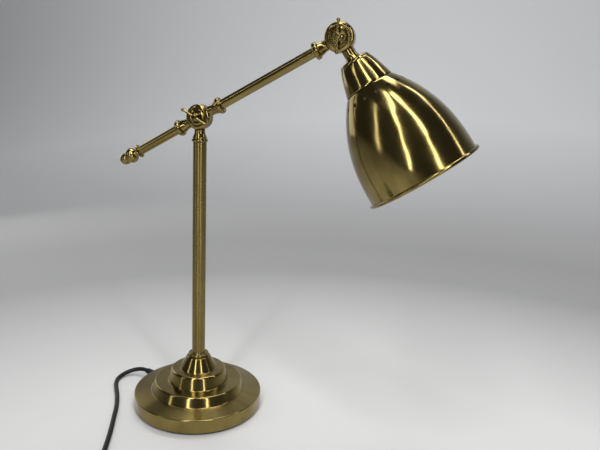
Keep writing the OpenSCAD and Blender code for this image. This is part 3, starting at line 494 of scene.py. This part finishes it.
def vented_wall(depth):
    """The dome's wall as a grid with a window for each vent, and in each window a collar of four
    bands that goes from the window's edge to the vent's circle. Returns points, faces, the first
    point of each vent's circle, the circle's number of points, and the grid's rows and columns."""
    sector = 10  # columns for each vent
    half, high = 3, 2  # a window's half width in columns and half height in rows
    columns = VENTS * sector
    pitch, rise = 2 * np.pi / columns, 1.65 * MM
    vent = SEAM + VENT_AT
    above = np.linspace(SEAM + TOP_GAP, vent - high * rise, 6)[:-1]
    beside = vent + rise * np.arange(-high, high + 1)
    last = SEAM + DOME_H - MOUTH_GAP
    below = vent + high * rise + (last - vent - high * rise) * np.linspace(0, 1, 60)[1:]
    along = np.concatenate([above, beside, below])
    angle = pitch * np.arange(columns)
    points = [dome_wall(along[:, None], angle[None], depth).reshape(-1, 3)]
    quads = grid_faces(len(along), columns)
    row, column = quads[:, 0] // columns, quads[:, 0] % columns
    centre = sector // 2
    window = (row >= len(above)) & (row < len(above) + 2 * high)
    window &= (column % sector >= centre - half) & (column % sector < centre + half)
    faces = quads[~window].tolist()

    side, upright = range(-half, half), range(-high, high)
    rim = np.array([
        *((x, -high) for x in side), *((half, y) for y in upright),
        *((-x, high) for x in side), *((-half, -y) for y in upright),
    ], float)
    reach = dome_radius(vent)
    flat = rim * [pitch * reach, rise]
    circle = VENT_R * flat / np.linalg.norm(flat, axis=1)[:, None]
    rings = 5
    share = np.linspace(0, 1, rings)[:, None, None]
    spot = flat * (1 - share) + circle * share
    vents = []
    for k in range(VENTS):
        middle = (k * sector + centre) * pitch
        first = sum(len(p) for p in points)
        collar = dome_wall(vent + spot[..., 1], middle + spot[..., 0] / reach, depth)
        points.append(collar.reshape(-1, 3))
        faces += grid_faces(rings, len(rim), first=first).tolist()
        vents.append(first + (rings - 1) * len(rim))
    return np.vstack(points), faces, vents, len(rim), along, angle


def make_shade():
    """The shade: an outer wall and an inner one joined round each vent, a bead round the mouth that
    runs from wall to wall, and a flat top with the hole for the lampholder."""
    outer, faces, vents, around, along, angle = vented_wall(0)
    inner, inner_faces, *_ = vented_wall(SHEET)
    shift, columns = len(outer), len(angle)
    mouth = (len(along) - 1) * columns
    points = [outer, inner]
    faces += [[k + shift for k in face[::-1]] for face in inner_faces]
    for vent in vents:
        faces += ring_faces(vent, vent + shift, around)

    def between(from_ring, line, to_ring):
        """Rings for the points (radius, along) of a line, joined to the rings it runs between."""
        first = sum(len(p) for p in points)
        last = first + (len(line) - 1) * columns
        rings = on_axis(line[:, :1], angle[None], line[:, 1:], HEAD_AT, SHADE_TURN)
        points.append(rings.reshape(-1, 3))
        faces.extend(grid_faces(len(line), columns, first=first).tolist())
        faces.extend(ring_faces(from_ring, first, columns))
        faces.extend(ring_faces(last, to_ring, columns))

    # The bead turns from the outer wall, which it leaves 124.8 degrees back, to the inner one.
    bead_at = np.array([MOUTH_R - SHEET + 0.1 * MM + BEAD_R, SEAM + DOME_H])
    a = np.radians(np.linspace(-124.8, 180, 22))
    bead = bead_at + BEAD_R * np.stack([np.cos(a), np.sin(a)], 1)
    between(mouth, bead, shift + mouth)
    # The top runs in under the sheet to the hole, up through it, and out to the outer wall.
    edge = TOP_R - 1 * MM
    top = np.array([
        [edge, SEAM + SHEET], [HOLE_R, SEAM + SHEET], [HOLE_R, SEAM], [edge - 0.3 * MM, SEAM],
        [edge + 0.25 * MM, SEAM + 0.1 * MM],
    ])
    between(shift, top, 0)

    shade = piece("dome_shade", np.vstack(points), faces, shade_brass, CREASE)
    shade.data.materials.append(inner_brass_and_painted_shade)
    spots = np.empty(len(shade.data.polygons) * 3)
    shade.data.polygons.foreach_get("center", spots)
    spots = spots.reshape(-1, 3) - HEAD_AT
    down = spots @ [np.sin(SHADE_TURN), 0, np.cos(SHADE_TURN)]
    off_axis = np.sqrt((spots**2).sum(1) - down**2)
    # The darker, duller brass is on the faces beyond the middle of the sheet, short of the bead. It
    # is partly a plainer inner finish and partly painted shade that keeps the dome's inside and vents
    # dark.
    dull = (off_axis < dome_radius(down) - 0.6 * SHEET) & (down > SEAM + 0.6 * SHEET)
    dull &= down < SEAM + DOME_H - 1.5 * MM
    shade.data.polygons.foreach_set("material_index", dull.astype(int))
    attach(shade, "head")
    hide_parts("shade")


def make_cup():
    """The cup over the lampholder: a rounded top, then a side whose radius grows as u^0.8 down to a
    short straight rim, and the same line moved in by the sheet."""
    top_at, high, bend, rim = 29.5 * MM, 34.5 * MM, 3.8 * MM, 1 * MM
    top_r, foot_r, hole_r = 18.5 * MM, 28.6 * MM, 5.2 * MM
    a = np.radians(np.linspace(0, 90, 15))[:-1]
    corner = np.stack([top_r - bend + bend * np.sin(a), top_at + bend - bend * np.cos(a)], 1)
    u = np.linspace(0, 1, 40) ** 1.4
    side_r = top_r + (foot_r - top_r) * u**0.8
    side = np.stack([side_r, top_at + bend + (high - bend - rim) * u], 1)
    foot = np.array([[foot_r, top_at + high - rim / 2], [foot_r, top_at + high]])
    line = np.vstack([[[hole_r, top_at]], corner, side, foot])
    hidden = inside(line, SHEET)
    hidden[0, 0], hidden[-1, 1] = hole_r, top_at + high
    whole = np.vstack([line, hidden[::-1]])
    cup = turned("shade_cup_skin", whole, shade_brass, HEAD_AT, SHADE_TURN)
    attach(cup, "head")
    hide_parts("shade_cup")


make_shade()
make_cup()

# ---- floor and light ----


def make_floor():
    """A sheet that lies flat, turns up through a quarter circle far behind the lamp, and rises as a
    wall. Its paper carries a painted pool of light: it is pale near the lamp and darker away from
    it, a painted shade that the metal reflects as a dim room. It is pale again up the wall."""
    front, back, bend, top = -6, 1.5, 0.9, 4
    turn = np.linspace(0, np.pi / 2, 25)
    y = np.concatenate([[front, back], back + bend * np.sin(turn[1:]), [back + bend]])
    z = np.concatenate([[0, 0], bend - bend * np.cos(turn[1:]), [top]])
    x = np.array([-7.0, 7.0])
    points = np.stack(np.broadcast_arrays(x[None, :], y[:, None], z[:, None]), -1)
    f = Finish("floor_paper", Roughness=0.75, Specular_IOR_Level=0.2)
    place_x, place_y, height = f.parts(f.place((0.28, -0.3, 0)))
    away = (place_x * place_x + place_y * place_y) ** 0.5
    # Painted pool of light: pale near the lamp, fading to a darker grey away from it, as painted
    # shade for the metal's reflections.
    painted_pool_paper = f.mix(f.range(away, 0.45, 1.0, 0, 1), (0.74, 0.74, 0.73), (0.38, 0.38, 0.38))
    wall = f.range(away + height * 2, 1.3, 3.2, 0, 1)
    f.set(Base_Color=f.mix(wall, painted_pool_paper, (0.85, 0.86, 0.87)))
    piece("floor", points, grid_faces(len(y), 2, wrap=False), f.material)


def make_lamp(name, start, end, width, glow, aim=(0.15, 0, 0.3)):
    """A soft strip from start to end that faces aim. Its power is 4 x area x glow, where glow is
    how bright it looks. The camera doesn't see it."""
    start, end = Vector(start), Vector(end)
    middle, run = (start + end) / 2, end - start
    along = run.normalized()
    back = middle - Vector(aim)
    back = (back - along * back.dot(along)).normalized()
    light = bpy.data.lights.new(name, "AREA")
    light.shape, light.size, light.size_y = "RECTANGLE", run.length, width
    light.energy = 4 * run.length * width * glow
    holder = bpy.data.objects.new(name, light)
    axes = Matrix((along, back.cross(along), back)).transposed().to_4x4()
    holder.matrix_world = Matrix.Translation(middle) @ axes
    holder.visible_camera = False
    bpy.context.collection.objects.link(holder)


# The strips stand, and run on overhead, where the metal's streaks in the photograph come from.
make_floor()
make_lamp("tall_right", (1.56, -1.56, 0.2), (1.56, -1.56, 2.1), 0.17, 7)
make_lamp("tall_left", (0, -2.2, 0.2), (0, -2.2, 2.1), 0.17, 7)
make_lamp("tall_side", (-1.28, -1.29, 0.2), (-1.28, -1.29, 2.3), 0.14, 3)
make_lamp("over_right", (1.56, -1.56, 2.1), (0.15, -0.35, 2.0), 0.22, 8)
make_lamp("over_left", (0, -2.2, 2.1), (-0.1, -0.45, 1.9), 0.22, 8)
make_lamp("over_back", (0.6, 0.61, 1.75), (1.86, 0.28, 1.19), 0.08, 6)
make_lamp("wide_back", (-0.7, 0.72, 2.4), (0.5, 0.72, 2.4), 0.7, 5)
make_lamp("wall_wash", (-1.5, 1.0, 2.5), (1.5, 1.0, 2.5), 0.5, 2.4, aim=(0, 2.3, 0.7))
make_lamp("side", (-1.23, 0.6, 0.2), (-1.23, 0.6, 1.2), 0.9, 1.0)

world = bpy.data.worlds.new("studio")
world.use_nodes = True
world.node_tree.nodes["Background"].inputs["Color"].default_value = (0.06, 0.06, 0.064, 1)
world.node_tree.nodes["Background"].inputs["Strength"].default_value = 1.0
bpy.context.scene.world = world
bpy.context.scene.view_settings.view_transform = "Standard"
